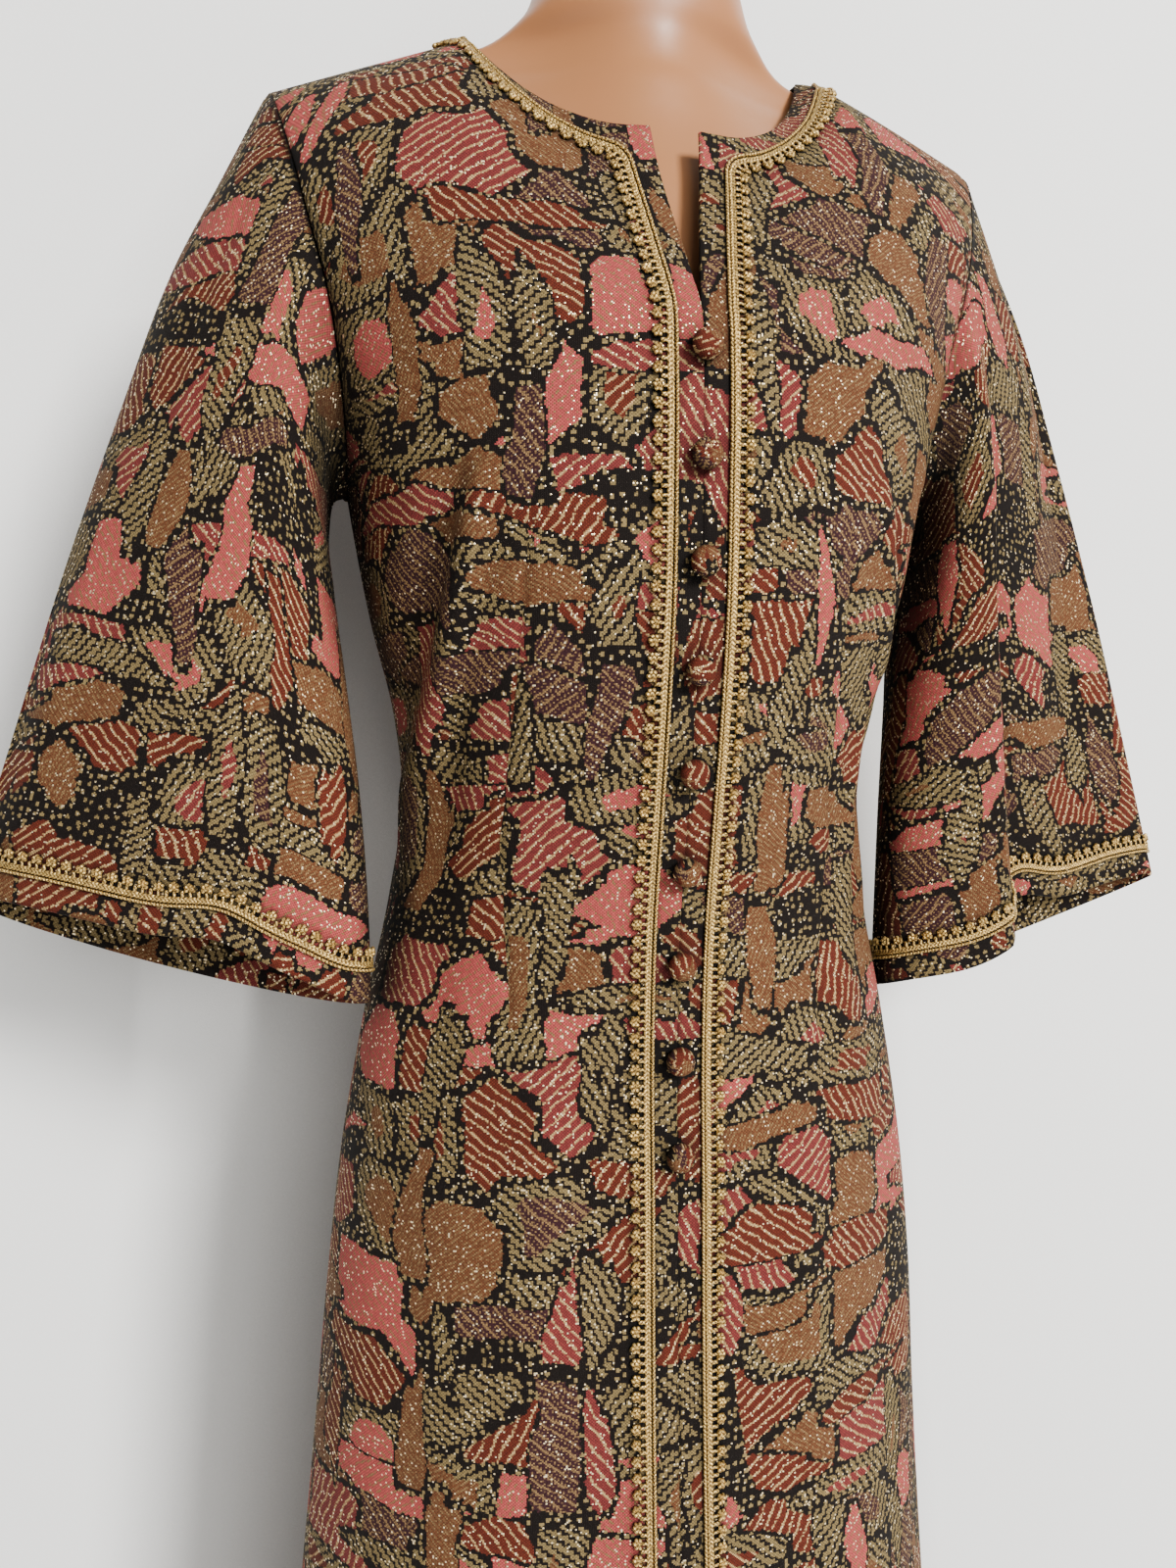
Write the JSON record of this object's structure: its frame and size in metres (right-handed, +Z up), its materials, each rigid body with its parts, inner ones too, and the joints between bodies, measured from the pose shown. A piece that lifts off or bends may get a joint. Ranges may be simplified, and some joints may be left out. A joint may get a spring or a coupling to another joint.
{
  "type": "kaftan on a dress form",
  "caption": "Long kaftan in patterned metallic jersey with scalloped braid, covered buttons and bell sleeves, on an armless dress form with a round stand.",
  "frame": {"origin": "middle of the underside of the stand's round base, on the floor", "axes": "+Z up, the garment's front faces -Y, the wearer's left is +X"},
  "size_m": [0.7184, 0.383, 1.532],
  "materials": {
    "jersey": "jacquard knit with metallic thread",
    "braid": "metallic gimp braid",
    "button_cloth": "buttons covered in the same jersey",
    "form_skin": "satin moulded plastic",
    "stand_metal": "satin grey paint"
  },
  "bodies": {
    "root": {"front_left": "jersey", "front_right": "jersey", "back": "jersey", "sleeve_left": "jersey", "sleeve_right": "jersey", "braid_left": "braid", "braid_right": "braid", "braid_neck_back": "braid", "braid_sleeve_left": "braid", "braid_sleeve_right": "braid", "button_1": "button_cloth", "button_2": "button_cloth", "button_3": "button_cloth", "button_4": "button_cloth", "button_5": "button_cloth", "button_6": "button_cloth", "button_7": "button_cloth", "button_8": "button_cloth", "button_9": "button_cloth", "dress_form": "form_skin", "stand_base": "stand_metal", "stand_pole": "stand_metal"}
  },
  "joints": []
}
